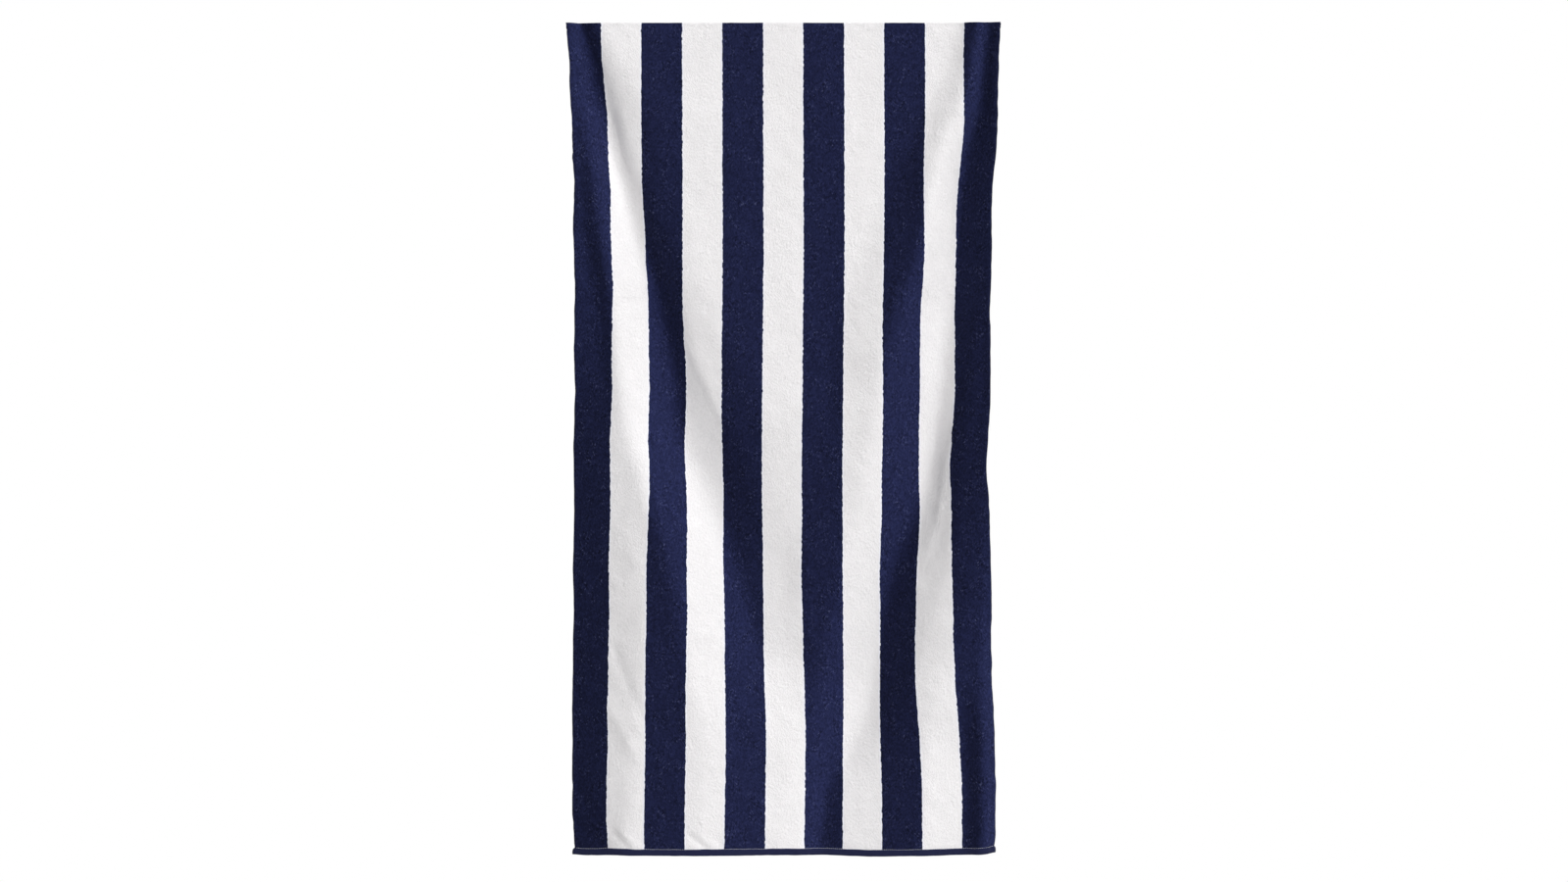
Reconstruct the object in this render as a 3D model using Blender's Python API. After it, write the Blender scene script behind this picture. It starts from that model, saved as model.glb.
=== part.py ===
"""Beach towel hanging by its top edge, striped lengthways in navy and white.

One woven cloth, hemmed across both ends, hangs as a sheet whose folds run down and inwards
from the top corners. Metres, +Z up. The front faces -Y, the origin is the middle of the
top edge, and the cloth hangs down from it.
"""

import math

import bpy
import numpy as np

MM = 0.001

# The cloth laid flat, in millimetres. Its first few millimetres are turned to the back at
# the top, so the top edge of the hanging towel lies that far down the flat cloth.
FLAT_LENGTH = 1524.0
HUNG_LENGTH = 1510.0
TOP_TURN = 12.0
ROW_PITCH = 36.0

# Stripes from the left side to the right: colour, width in millimetres, columns of faces
STRIPES = (
    ("navy", 70.0, 6),
    ("white", 72.0, 5),
    ("navy", 73.5, 5),
    ("white", 72.0, 4),
    ("navy", 73.5, 4),
    ("white", 72.0, 4),
    ("navy", 73.5, 4),
    ("white", 72.0, 4),
    ("navy", 73.5, 5),
    ("white", 72.0, 5),
    ("navy", 70.0, 6),
)

# Sections of the two hems, in millimetres: distance in from the towel's edge, and how far
# the front and the back stand from the middle of the cloth there
TOP_HEM = (
    (0.0, 0.9, 0.9),
    (1.2, 1.5, 2.1),
    (3.2, 1.5, 2.9),
    (9.6, 1.5, 2.7),
    (12.0, 1.5, 0.9),
    (15.5, 1.5, 1.5),
)
BOTTOM_HEM = (
    (0.0, 0.9, 0.9),
    (1.2, 1.8, 1.8),
    (3.2, 2.2, 2.2),
    (9.6, 2.1, 2.1),
    (12.0, 1.2, 1.2),
    (15.5, 1.5, 1.5),
)

# Lines that the folds follow, from the left side to the right. Each row is a place on the
# line in millimetres: down the flat cloth, across from its middle, forward.
FOLD_LINES = (
    ("left side", (
        (0, -397, 5),
        (200, -397, -4),
        (320, -397, 7),
        (400, -397, 6),
        (540, -397, 0),
        (760, -397, -23),
        (900, -397, -34),
        (1020, -397, -47),
        (1220, -397, -58),
        (1400, -397, -61),
        (1484, -397, -69),
        (1524, -397, -68),
    )),
    ("left brow", (
        (0, -394, 5),
        (150, -387, -9),
        (320, -380, 7),
        (600, -345, -3),
        (740, -338, -6),
        (900, -296, -6),
        (1020, -262, -5),
        (1180, -262, -13),
        (1320, -280, -21),
        (1524, -290, -25),
    )),
    ("left ridge", (
        (0, -391, 6),
        (150, -377, -11),
        (320, -358, 14),
        (460, -336, 15),
        (600, -318, 7),
        (700, -306, 6),
        (740, -298, 6),
        (820, -272, 6),
        (900, -246, 6),
        (1020, -206, 1),
        (1180, -178, -7),
        (1320, -150, -12),
        (1524, -160, -16),
    )),
    ("left valley", (
        (0, -369, -10),
        (60, -356, -20),
        (150, -331, -32),
        (240, -309, -31),
        (320, -286, -29),
        (400, -262, -27),
        (460, -244, -30),
        (600, -212, -38),
        (740, -195, -40),
        (880, -130, -45),
        (1020, -78, -43),
        (1180, -36, -43),
        (1300, -30, -26),
        (1524, -30, -28),
    )),
    ("left foot", (
        (0, -366, -9),
        (60, -353, -19),
        (150, -328, -31),
        (320, -283, -28),
        (400, -258, -26),
        (460, -238, -28),
        (600, -207, -37),
        (680, -182, -37),
        (740, -148, -32),
        (880, -110, -42),
        (1020, -66, -42),
        (1180, -30, -43),
        (1300, -26, -27),
        (1524, -26, -28),
    )),
    ("left knee", (
        (0, -358, -3),
        (60, -340, -7),
        (150, -304, -13),
        (240, -281, -11),
        (320, -249, -5),
        (400, -220, -7),
        (460, -190, -4),
        (600, -163, -13),
        (680, -137, -12),
        (740, -98, -11),
        (880, -45, -24),
        (1020, -20, -36),
        (1180, -10, -42),
        (1300, -10, -28),
        (1524, -10, -29),
    )),
    ("left shoulder", (
        (0, -350, 0),
        (60, -318, 0),
        (150, -258, 0),
        (320, -195, 0),
        (460, -150, 0),
        (600, -106, 0),
        (740, -20, -3),
        (880, 0, -16),
        (1020, 0, -34),
        (1180, 0, -42),
        (1300, 0, -29),
        (1524, 0, -30),
    )),
    ("right shoulder", (
        (0, 327, 0),
        (200, 250, 0),
        (320, 190, 0),
        (460, 130, 0),
        (600, 90, 0),
        (740, 80, -2),
        (880, 40, -12),
        (1020, 36, -21),
        (1180, 46, -39),
        (1300, 20, -33),
        (1524, 22, -33),
    )),
    ("right ridge", (
        (0, 352, 15),
        (150, 334, 20),
        (250, 286, 22),
        (460, 238, 24),
        (600, 186, 22),
        (740, 170, 8),
        (880, 140, -6),
        (1020, 104, -19),
        (1180, 72, -39),
        (1300, 40, -38),
        (1524, 36, -34),
    )),
    ("right valley", (
        (0, 374, 3),
        (150, 362, 3),
        (250, 339, -4),
        (330, 335, -15),
        (460, 325, -23),
        (600, 304, -26),
        (740, 285, -35),
        (820, 274, -40),
        (880, 262, -42),
        (940, 238, -45),
        (1020, 203, -51),
        (1180, 169, -69),
        (1260, 149, -69),
        (1320, 120, -65),
        (1400, 80, -54),
        (1524, 66, -46),
    )),
    ("right crest", (
        (0, 388, 11),
        (190, 388, 22),
        (320, 388, 12),
        (460, 388, 1),
        (600, 372, 6),
        (740, 352, 3),
        (880, 338, 4),
        (1020, 322, 4),
        (1110, 286, -12),
        (1180, 258, -28),
        (1320, 200, -40),
        (1420, 186, -32),
        (1524, 184, -25),
    )),
    ("right brow", (
        (0, 392, 14),
        (190, 392, 25),
        (320, 392, 14),
        (460, 392, 3),
        (880, 388, 16),
        (1020, 376, 10),
        (1110, 340, -3),
        (1180, 310, -18),
        (1320, 262, -24),
        (1524, 258, -16),
    )),
    ("right flute", (
        (0, 394, 15),
        (190, 394, 26),
        (320, 394, 15),
        (460, 394, 4),
        (880, 392, 17),
        (1020, 384, 11),
        (1110, 362, -5),
        (1180, 346, -19),
        (1320, 340, -30),
        (1524, 338, -25),
    )),
    ("right rim", (
        (0, 395, 16),
        (190, 395, 27),
        (320, 395, 16),
        (460, 395, 4),
        (880, 395, 18),
        (1020, 391, 11),
        (1110, 382, -6),
        (1180, 377, -20),
        (1320, 370, -15),
        (1440, 368, -10),
        (1524, 366, -9),
    )),
    ("right side", (
        (0, 397, 17),
        (190, 397, 28),
        (320, 397, 17),
        (460, 397, 5),
        (600, 397, 16),
        (880, 397, 18),
        (1020, 397, 8),
        (1110, 397, -16),
        (1180, 397, -33),
        (1320, 397, -33),
        (1440, 397, -30),
        (1524, 397, -31),
    )),
)

# How softly the folds are rounded, in millimetres to each side of a line and along it.
# Rounding lowers every crest, so the lines are first set this much further apart in depth.
ROUNDING_ACROSS = 15.0
ROUNDING_ALONG = 34.0
ROUNDING_SAMPLES = 5
CREST_LIFT = 1.17

# Sideways drift of the middle of the cloth, in millimetres: down, across
SWAY = (
    (0, 1.5),
    (420, 2.5),
    (820, -1.0),
    (1160, 2.5),
    (1310, 6.5),
    (1524, 4.0),
)

# Unevenness of the bottom hem, in millimetres: across, how much lower it hangs
BOTTOM_LINE = (
    (-397, 2.5),
    (-370, 3.0),
    (-320, 0.5),
    (0, 0.0),
    (160, 2.5),
    (290, -0.5),
    (360, -2.0),
    (397, -5.0),
)

# Colour in linear light, and roughness, of the two yarns
YARNS = {
    "navy": ((0.013, 0.016, 0.048, 1.0), 0.95),
    "white": ((0.82, 0.80, 0.82, 1.0), 0.95),
}
SLOTS = {"navy": 0, "white": 1}

# Edges that turn by more than this, in degrees, are drawn sharp
SHARP_ANGLE = 60.0


def clear_scene():
    for item in list(bpy.data.objects):
        bpy.data.objects.remove(item, do_unlink=True)


def make_yarn_material(name):
    colour, roughness = YARNS[name]
    material = bpy.data.materials.new(f"{name} terry")
    material.use_nodes = True
    shader = material.node_tree.nodes["Principled BSDF"]
    shader.inputs["Base Color"].default_value = colour
    shader.inputs["Roughness"].default_value = roughness
    shader.inputs["Metallic"].default_value = 0.0
    return material


def column_places():
    """Places across the flat cloth where columns of faces meet, and each column's colour."""
    places = [-sum(width for _, width, _ in STRIPES) / 2]
    colours = []
    for colour, width, columns in STRIPES:
        start = places[-1]
        for column in range(columns):
            places.append(start + width * (column + 1) / columns)
            colours.append(colour)
    return np.array(places), colours


def row_places():
    """Places down the flat cloth where rows of faces meet: close together at each hem."""
    top = [TOP_TURN + place for place, _, _ in TOP_HEM]
    bottom = [FLAT_LENGTH - place for place, _, _ in reversed(BOTTOM_HEM)]
    middle = bottom[0] - top[-1]
    count = round(middle / ROW_PITCH)
    inner = [top[-1] + middle * row / count for row in range(1, count)]
    return np.array(top + inner + bottom)


def sharp_forward(across, down):
    """How far forward the cloth stands on straight runs between the fold lines."""
    places = []
    depths = []
    for _, rows in FOLD_LINES:
        downs, acrosses, forwards = zip(*rows)
        places.append(np.interp(down, downs, acrosses))
        depths.append(np.interp(down, downs, forwards))
    return np.interp(across, places, depths)


def forward(across, down):
    """The same, rounded: the mean of the sharp folds just around each place."""
    offsets = np.linspace(-1.0, 1.0, ROUNDING_SAMPLES)
    total = np.zeros_like(across)
    for along in offsets:
        for aside in offsets:
            total += sharp_forward(across + aside * ROUNDING_ACROSS, down + along * ROUNDING_ALONG)
    return CREST_LIFT * total / len(offsets) ** 2


def hung_rows(across, downs):
    """Points of the hanging cloth's middle surface: a folded row is narrower, not shorter."""
    lower = np.interp(across, *zip(*BOTTOM_LINE))
    points = np.zeros((len(downs), len(across), 3))
    for row, down in enumerate(downs):
        depth = forward(across, down)
        steps = np.sqrt(np.diff(across) ** 2 - np.diff(depth) ** 2)
        side = np.concatenate(([0.0], np.cumsum(steps)))
        middle = np.interp(0.0, across, side)
        points[row, :, 0] = side - middle + np.interp(down, *zip(*SWAY))
        points[row, :, 1] = -depth
        points[row, :, 2] = -(HUNG_LENGTH + lower) * down / FLAT_LENGTH
    return points


def face_offsets(downs):
    """How far the front and the back stand from the middle of the cloth in each row."""
    from_top, *top_faces = zip(*TOP_HEM)
    from_bottom, *bottom_faces = zip(*BOTTOM_HEM)
    offsets = []
    for at_top, at_bottom in zip(top_faces, bottom_faces):
        upper = np.interp(downs - TOP_TURN, from_top, at_top)
        lower = np.interp(FLAT_LENGTH - downs, from_bottom, at_bottom)
        offsets.append(np.where(downs < FLAT_LENGTH / 2, upper, lower))
    return offsets


def surface_normals(points):
    """Unit normals of the grid of points, towards the front."""
    along = np.gradient(points, axis=0)
    aside = np.gradient(points, axis=1)
    normals = np.cross(along, aside)
    return normals / np.linalg.norm(normals, axis=2, keepdims=True)


def cloth_mesh(points, front_offset, back_offset, colours, materials):
    """A closed sheet: the front and back faces of the grid, joined around its edge.

    Each cell of the grid is cut in two along the way that the folds lean on its side.
    """
    normals = surface_normals(points)
    rows, columns, _ = points.shape
    count = rows * columns
    front = (points + front_offset[:, None, None] * normals).reshape(-1, 3)
    back = (points - back_offset[:, None, None] * normals).reshape(-1, 3)
    faces = []
    slots = []
    for row in range(rows - 1):
        for column in range(columns - 1):
            a = row * columns + column
            b = a + 1
            c = b + columns
            d = a + columns
            leans_right = column < (columns - 1) / 2
            halves = ((a, d, c), (a, c, b)) if leans_right else ((a, d, b), (b, d, c))
            for first, second, third in halves:
                faces.append((first, second, third))
                faces.append((third + count, second + count, first + count))
            slots += [SLOTS[colours[column]]] * 4
    rim = list(range(columns))
    rim += [row * columns + columns - 1 for row in range(1, rows)]
    rim += [(rows - 1) * columns + column for column in range(columns - 2, -1, -1)]
    rim += [row * columns for row in range(rows - 2, 0, -1)]
    for here, after in zip(rim, rim[1:] + rim[:1]):
        faces.append((here, after, after + count, here + count))
        slots.append(SLOTS["navy"])
    mesh = bpy.data.meshes.new("towel")
    mesh.from_pydata((np.concatenate((front, back)) * MM).tolist(), [], faces)
    for material in materials:
        mesh.materials.append(material)
    mesh.polygons.foreach_set("material_index", slots)
    mesh.shade_smooth()
    mesh.set_sharp_from_angle(angle=math.radians(SHARP_ANGLE))
    mesh.update()
    return mesh


def make_towel():
    across, colours = column_places()
    downs = row_places()
    points = hung_rows(across, downs)
    top_forward = np.interp(0.0, across, points[0, :, 1])
    points -= np.array([points[0, :, 0].mean(), top_forward, points[0, :, 2].max()])
    front_offset, back_offset = face_offsets(downs)
    materials = [make_yarn_material(name) for name in SLOTS]
    mesh = cloth_mesh(points, front_offset, back_offset, colours, materials)
    towel = bpy.data.objects.new("towel", mesh)
    bpy.context.scene.collection.objects.link(towel)
    return towel


def main():
    clear_scene()
    make_towel()


main()
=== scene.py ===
# %% [markdown]
# # A striped beach towel, hung by its top edge
# A beach towel is one length of terry cloth. On its face the loops are sheared into a soft
# velour, on its back they stay loops, and both ends are turned over and stitched as hems.
# It could be draped by a cloth simulation, but a simulation finds its own folds, and here
# the folds are known. So the cloth is laid out as a grid in its flat size, and each point
# of that grid is then carried to its place in the hanging towel.

import math

import bpy
import numpy as np
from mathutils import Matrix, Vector


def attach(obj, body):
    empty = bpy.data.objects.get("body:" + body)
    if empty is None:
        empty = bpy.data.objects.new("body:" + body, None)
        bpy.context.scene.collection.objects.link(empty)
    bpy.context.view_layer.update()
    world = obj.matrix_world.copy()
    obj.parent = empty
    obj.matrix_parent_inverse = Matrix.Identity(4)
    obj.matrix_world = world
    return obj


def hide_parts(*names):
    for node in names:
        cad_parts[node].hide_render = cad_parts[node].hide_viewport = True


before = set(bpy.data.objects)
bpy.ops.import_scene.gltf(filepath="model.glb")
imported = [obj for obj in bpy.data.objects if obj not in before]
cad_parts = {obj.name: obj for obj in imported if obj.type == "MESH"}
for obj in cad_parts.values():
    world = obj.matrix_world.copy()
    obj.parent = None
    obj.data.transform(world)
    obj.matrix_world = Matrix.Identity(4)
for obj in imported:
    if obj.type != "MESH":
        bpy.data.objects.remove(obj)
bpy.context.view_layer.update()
MM = 0.001

# %% [markdown]
# ## The camera
# The towel was photographed straight on, from far enough away that its sides stay parallel.
# A long lens from eight metres gives the same view. The picture is 2.816 m wide where the
# towel hangs, so the lens follows from the distance by similar triangles.

# %% Set up the camera
CAMERA_DISTANCE = 8.0
PICTURE_WIDTH = 2.816
SENSOR_WIDTH = 36.0
PICTURE_MIDDLE = (0.0018, -0.7511)

camera_data = bpy.data.cameras.new("camera")
camera_data.sensor_width = SENSOR_WIDTH
camera_data.lens = SENSOR_WIDTH * CAMERA_DISTANCE / PICTURE_WIDTH
camera = bpy.data.objects.new("camera", camera_data)
camera.location = (PICTURE_MIDDLE[0], -CAMERA_DISTANCE, PICTURE_MIDDLE[1])
camera.rotation_euler = (math.radians(90.0), 0.0, 0.0)
bpy.context.scene.collection.objects.link(camera)
bpy.context.scene.camera = camera
print("lens", round(camera_data.lens, 1), "mm")

# %% [markdown]
# ## The studio
# Folds in cloth are only seen by their light and shade. Most of the light comes from the
# upper right and some from the lower right and left, so each slope that faces right is
# bright and each that faces left is dark. Sun lamps with a wide angle give even, soft light
# from one direction each, and two more behind the towel light only its back. A white room
# fills the shade: it looks pure white to the camera but gives off less light than that,
# which a Light Path node tells apart. The floor does the same: white to the camera, and
# grey to the light that it sends up again.

# %% Helpers that wire nodes together
def put(tree, kind, **settings):
    """A new node of that kind with its settings made."""
    node = tree.nodes.new(kind)
    for name, value in settings.items():
        setattr(node, name, value)
    return node


def feed(tree, socket, value):
    """Joins value to the socket where it is another node's output, and else sets it there."""
    if isinstance(value, bpy.types.NodeSocket):
        tree.links.new(value, socket)
    else:
        socket.default_value = value


# %% Build the white room, the floor and the lamps
ROOM_LIGHT = 0.33
FLOOR_LEVEL = -1.95
FLOOR_SIZE = 30.0
FLOOR_COLOUR = (0.27, 0.27, 0.27, 1.0)

# Each row: name, degrees to the right of the camera, degrees up, strength
LAMPS = (
    ("key lamp", 60.0, 50.0, 1.75),
    ("upper lamp", 30.0, 50.0, 0.61),
    ("lower right lamp", 30.0, -15.0, 1.40),
    ("lower left lamp", -60.0, -15.0, 0.62),
    ("back lamp", 150.0, 35.0, 1.90),
    ("back fill", -140.0, 10.0, 0.90),
)
LAMP_SPREAD = 22.0

world = bpy.data.worlds.new("white room")
bpy.context.scene.world = world
world.use_nodes = True
room = world.node_tree
room.nodes.clear()
seen = put(room, "ShaderNodeBackground")
seen.inputs["Strength"].default_value = 1.0
lit = put(room, "ShaderNodeBackground")
lit.inputs["Strength"].default_value = ROOM_LIGHT
for background in (seen, lit):
    background.inputs["Color"].default_value = (1.0, 1.0, 1.0, 1.0)
choose = put(room, "ShaderNodeMixShader")
feed(room, choose.inputs[0], put(room, "ShaderNodeLightPath").outputs["Is Camera Ray"])
feed(room, choose.inputs[1], lit.outputs[0])
feed(room, choose.inputs[2], seen.outputs[0])
feed(room, put(room, "ShaderNodeOutputWorld").inputs["Surface"], choose.outputs[0])

floor_finish = bpy.data.materials.new("pale floor")
floor_finish.use_nodes = True
paint = floor_finish.node_tree
paint.nodes.clear()
matt = put(paint, "ShaderNodeBsdfDiffuse")
matt.inputs["Color"].default_value = FLOOR_COLOUR
glow = put(paint, "ShaderNodeEmission")
choose = put(paint, "ShaderNodeMixShader")
feed(paint, choose.inputs[0], put(paint, "ShaderNodeLightPath").outputs["Is Camera Ray"])
feed(paint, choose.inputs[1], matt.outputs[0])
feed(paint, choose.inputs[2], glow.outputs[0])
feed(paint, put(paint, "ShaderNodeOutputMaterial").inputs["Surface"], choose.outputs[0])

half = FLOOR_SIZE / 2
corners = [(-half, -half), (half, -half), (half, half), (-half, half)]
floor_mesh = bpy.data.meshes.new("floor")
floor_mesh.from_pydata([(x, y, FLOOR_LEVEL) for x, y in corners], [], [(0, 1, 2, 3)])
floor_mesh.materials.append(floor_finish)
floor = bpy.data.objects.new("floor", floor_mesh)
bpy.context.scene.collection.objects.link(floor)
floor.visible_shadow = False  # the lower lamps shine through it


def add_lamp(name, right, up, strength):
    """A soft sun lamp that shines at the towel from that direction."""
    right, up = math.radians(right), math.radians(up)
    level = math.cos(up)
    from_lamp = Vector((-math.sin(right) * level, math.cos(right) * level, -math.sin(up)))
    data = bpy.data.lights.new(name, "SUN")
    data.angle = math.radians(LAMP_SPREAD)
    data.energy = strength
    lamp = bpy.data.objects.new(name, data)
    lamp.rotation_euler = from_lamp.to_track_quat("-Z", "Y").to_euler()
    bpy.context.scene.collection.objects.link(lamp)


for lamp_row in LAMPS:
    add_lamp(*lamp_row)
bpy.context.scene.view_settings.view_transform = "Standard"
print("room and", len(LAMPS), "lamps ready")

# %% [markdown]
# ## The cloth laid flat
# The weaver's sizes come first: eleven stripes, six navy and five white, each about 7 cm
# wide, on a cloth 1.524 m long. The ends are turned over twice, which makes each hem a
# ridge 12 mm deep with a stitched groove behind it. The top hem is turned to the back, so
# the pile runs right up to the top edge. Grid rows lie close together in the hems, to give
# their round section, and about 5 mm apart elsewhere.

# %% Lay out the columns and rows of the grid
FLAT_LENGTH = 1524.0
HUNG_LENGTH = 1510.0
TOP_TURN = 12.0
STRIPE_WIDTHS = (70.0, 72.0, 73.5, 72.0, 73.5, 72.0, 73.5, 72.0, 73.5, 72.0, 70.0)
FLAT_WIDTH = sum(STRIPE_WIDTHS)
COLUMN_PITCH = 5.25
ROW_PITCH = 5.35

# Sections of the hems: distance in from the towel's edge, and how far the front and the
# back stand from the middle of the cloth there
TOP_HEM = (
    (0.0, 0.6, 0.7),
    (0.5, 1.1, 1.4),
    (1.3, 1.5, 2.2),
    (2.6, 1.6, 2.7),
    (4.6, 1.5, 2.9),
    (6.8, 1.5, 2.8),
    (9.6, 1.5, 2.5),
    (11.0, 1.5, 1.7),
    (12.0, 1.5, 0.8),
    (13.0, 1.5, 1.0),
    (15.5, 1.5, 1.5),
)
BOTTOM_HEM = (
    (0.0, 0.7, 0.7),
    (0.5, 1.3, 1.3),
    (1.3, 1.9, 1.9),
    (2.6, 2.15, 2.15),
    (4.6, 2.2, 2.2),
    (6.8, 2.15, 2.15),
    (9.6, 2.0, 2.0),
    (11.0, 1.6, 1.6),
    (12.0, 1.0, 1.0),
    (13.0, 1.2, 1.2),
    (15.5, 1.5, 1.5),
)
HEM_DEPTH = 12.0

columns = round(FLAT_WIDTH / COLUMN_PITCH)
across = np.linspace(-FLAT_WIDTH / 2, FLAT_WIDTH / 2, columns + 1)
top_rows = [TOP_TURN + place for place, _, _ in TOP_HEM]
bottom_rows = [FLAT_LENGTH - place for place, _, _ in reversed(BOTTOM_HEM)]
middle_rows = round((bottom_rows[0] - top_rows[-1]) / ROW_PITCH)
between = np.linspace(top_rows[-1], bottom_rows[0], middle_rows + 1)[1:-1]
down = np.concatenate((top_rows, between, bottom_rows))
from_top = down - TOP_TURN
from_bottom = FLAT_LENGTH - down
print(len(across), "points across,", len(down), "points down")

# %% [markdown]
# ## The folds
# A cloth held up at its top corners and hanging a little slack makes folds that start at
# the corners and lean in towards the middle as they fall. Each ridge and valley is a line
# down the cloth. A table says where the line runs and how far forward it stands, and the
# cloth between two lines is a straight slope. Averaging the slopes over a small patch
# rounds every crest, just as thick terry can't crease sharply.

# %% Set down the lines of the folds
# Each row, in millimetres: down the flat cloth, across from its middle, forward
FOLD_LINES = (
    ("left side", (
        (0, -397, 5),
        (200, -397, -4),
        (320, -397, 7),
        (400, -397, 6),
        (540, -397, 0),
        (760, -397, -23),
        (900, -397, -34),
        (1020, -397, -47),
        (1220, -397, -58),
        (1400, -397, -61),
        (1484, -397, -69),
        (1524, -397, -68),
    )),
    ("left brow", (
        (0, -394, 5),
        (150, -387, -9),
        (320, -380, 7),
        (600, -345, -3),
        (740, -338, -6),
        (900, -296, -6),
        (1020, -262, -5),
        (1180, -262, -13),
        (1320, -280, -21),
        (1524, -290, -25),
    )),
    ("left ridge", (
        (0, -391, 6),
        (150, -377, -11),
        (320, -358, 14),
        (460, -336, 15),
        (600, -318, 7),
        (700, -306, 6),
        (740, -298, 6),
        (820, -272, 6),
        (900, -246, 6),
        (1020, -206, 1),
        (1180, -178, -7),
        (1320, -150, -12),
        (1524, -160, -16),
    )),
    ("left valley", (
        (0, -369, -10),
        (60, -356, -20),
        (150, -331, -32),
        (240, -309, -31),
        (320, -286, -29),
        (400, -262, -27),
        (460, -244, -30),
        (600, -212, -38),
        (740, -195, -40),
        (880, -130, -45),
        (1020, -78, -43),
        (1180, -36, -43),
        (1300, -30, -26),
        (1524, -30, -28),
    )),
    ("left foot", (
        (0, -366, -9),
        (60, -353, -19),
        (150, -328, -31),
        (320, -283, -28),
        (400, -258, -26),
        (460, -238, -28),
        (600, -207, -37),
        (680, -182, -37),
        (740, -148, -32),
        (880, -110, -42),
        (1020, -66, -42),
        (1180, -30, -43),
        (1300, -26, -27),
        (1524, -26, -28),
    )),
    ("left knee", (
        (0, -358, -3),
        (60, -340, -7),
        (150, -304, -13),
        (240, -281, -11),
        (320, -249, -5),
        (400, -220, -7),
        (460, -190, -4),
        (600, -163, -13),
        (680, -137, -12),
        (740, -98, -11),
        (880, -45, -24),
        (1020, -20, -36),
        (1180, -10, -42),
        (1300, -10, -28),
        (1524, -10, -29),
    )),
    ("left shoulder", (
        (0, -350, 0),
        (60, -318, 0),
        (150, -258, 0),
        (320, -195, 0),
        (460, -150, 0),
        (600, -106, 0),
        (740, -20, -3),
        (880, 0, -16),
        (1020, 0, -34),
        (1180, 0, -42),
        (1300, 0, -29),
        (1524, 0, -30),
    )),
    ("right shoulder", (
        (0, 327, 0),
        (200, 250, 0),
        (320, 190, 0),
        (460, 130, 0),
        (600, 90, 0),
        (740, 80, -2),
        (880, 40, -12),
        (1020, 36, -21),
        (1180, 46, -39),
        (1300, 20, -33),
        (1524, 22, -33),
    )),
    ("right ridge", (
        (0, 352, 15),
        (150, 334, 20),
        (250, 286, 22),
        (460, 238, 24),
        (600, 186, 22),
        (740, 170, 8),
        (880, 140, -6),
        (1020, 104, -19),
        (1180, 72, -39),
        (1300, 40, -38),
        (1524, 36, -34),
    )),
    ("right valley", (
        (0, 374, 3),
        (150, 362, 3),
        (250, 339, -4),
        (330, 335, -15),
        (460, 325, -23),
        (600, 304, -26),
        (740, 285, -35),
        (820, 274, -40),
        (880, 262, -42),
        (940, 238, -45),
        (1020, 203, -51),
        (1180, 169, -69),
        (1260, 149, -69),
        (1320, 120, -65),
        (1400, 80, -54),
        (1524, 66, -46),
    )),
    ("right crest", (
        (0, 388, 11),
        (190, 388, 22),
        (320, 388, 12),
        (460, 388, 1),
        (600, 372, 6),
        (740, 352, 3),
        (880, 338, 4),
        (1020, 322, 4),
        (1110, 286, -12),
        (1180, 258, -28),
        (1320, 200, -40),
        (1420, 186, -32),
        (1524, 184, -25),
    )),
    ("right brow", (
        (0, 392, 14),
        (190, 392, 25),
        (320, 392, 14),
        (460, 392, 3),
        (880, 388, 16),
        (1020, 376, 10),
        (1110, 340, -3),
        (1180, 310, -18),
        (1320, 262, -24),
        (1524, 258, -16),
    )),
    ("right flute", (
        (0, 394, 15),
        (190, 394, 26),
        (320, 394, 15),
        (460, 394, 4),
        (880, 392, 17),
        (1020, 384, 11),
        (1110, 362, -5),
        (1180, 346, -19),
        (1320, 340, -30),
        (1524, 338, -25),
    )),
    ("right rim", (
        (0, 395, 16),
        (190, 395, 27),
        (320, 395, 16),
        (460, 395, 4),
        (880, 395, 18),
        (1020, 391, 11),
        (1110, 382, -6),
        (1180, 377, -20),
        (1320, 370, -15),
        (1440, 368, -10),
        (1524, 366, -9),
    )),
    ("right side", (
        (0, 397, 17),
        (190, 397, 28),
        (320, 397, 17),
        (460, 397, 5),
        (600, 397, 16),
        (880, 397, 18),
        (1020, 397, 8),
        (1110, 397, -16),
        (1180, 397, -33),
        (1320, 397, -33),
        (1440, 397, -30),
        (1524, 397, -31),
    )),
)
print(len(FOLD_LINES), "fold lines")

# %% Round the folds
ROUNDING_ACROSS = 10.0
ROUNDING_ALONG = 34.0
ROUNDING_SAMPLES = 5
CREST_LIFT = 1.17  # gives back the height that rounding takes off the crests


def sharp_forward(place, fall):
    """How far forward the cloth stands on straight runs between the fold lines."""
    lines = []
    for _, rows in FOLD_LINES:
        downs, acrosses, forwards = zip(*rows)
        lines.append((np.interp(fall, downs, acrosses), np.interp(fall, downs, forwards)))
    places, depths = zip(*lines)
    return np.interp(place, places, depths)


def forward(place, fall):
    """The same, as the mean over a small patch around each place."""
    offsets = np.linspace(-1.0, 1.0, ROUNDING_SAMPLES)
    total = np.zeros_like(place)
    for along in offsets:
        for aside in offsets:
            total += sharp_forward(place + aside * ROUNDING_ACROSS, fall + along * ROUNDING_ALONG)
    return CREST_LIFT * total / ROUNDING_SAMPLES**2


depth = np.array([forward(across, fall) for fall in down])
print("folds run", round(np.ptp(depth)), "mm from front to back")

# %% [markdown]
# ## Creases and unevenness
# Between the large folds the cloth has small soft wrinkles, and short puckers where the
# hem's stitches draw it in. Other creases run along the edge of a large fold and sharpen
# it, where the averaging has rounded it too far. Each is a line with a width and a height,
# negative for a trough, and it fades out to its sides as a bell curve. The pile itself is
# never quite level either: smoothed random fields with fixed seeds lift it here and there.

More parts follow.
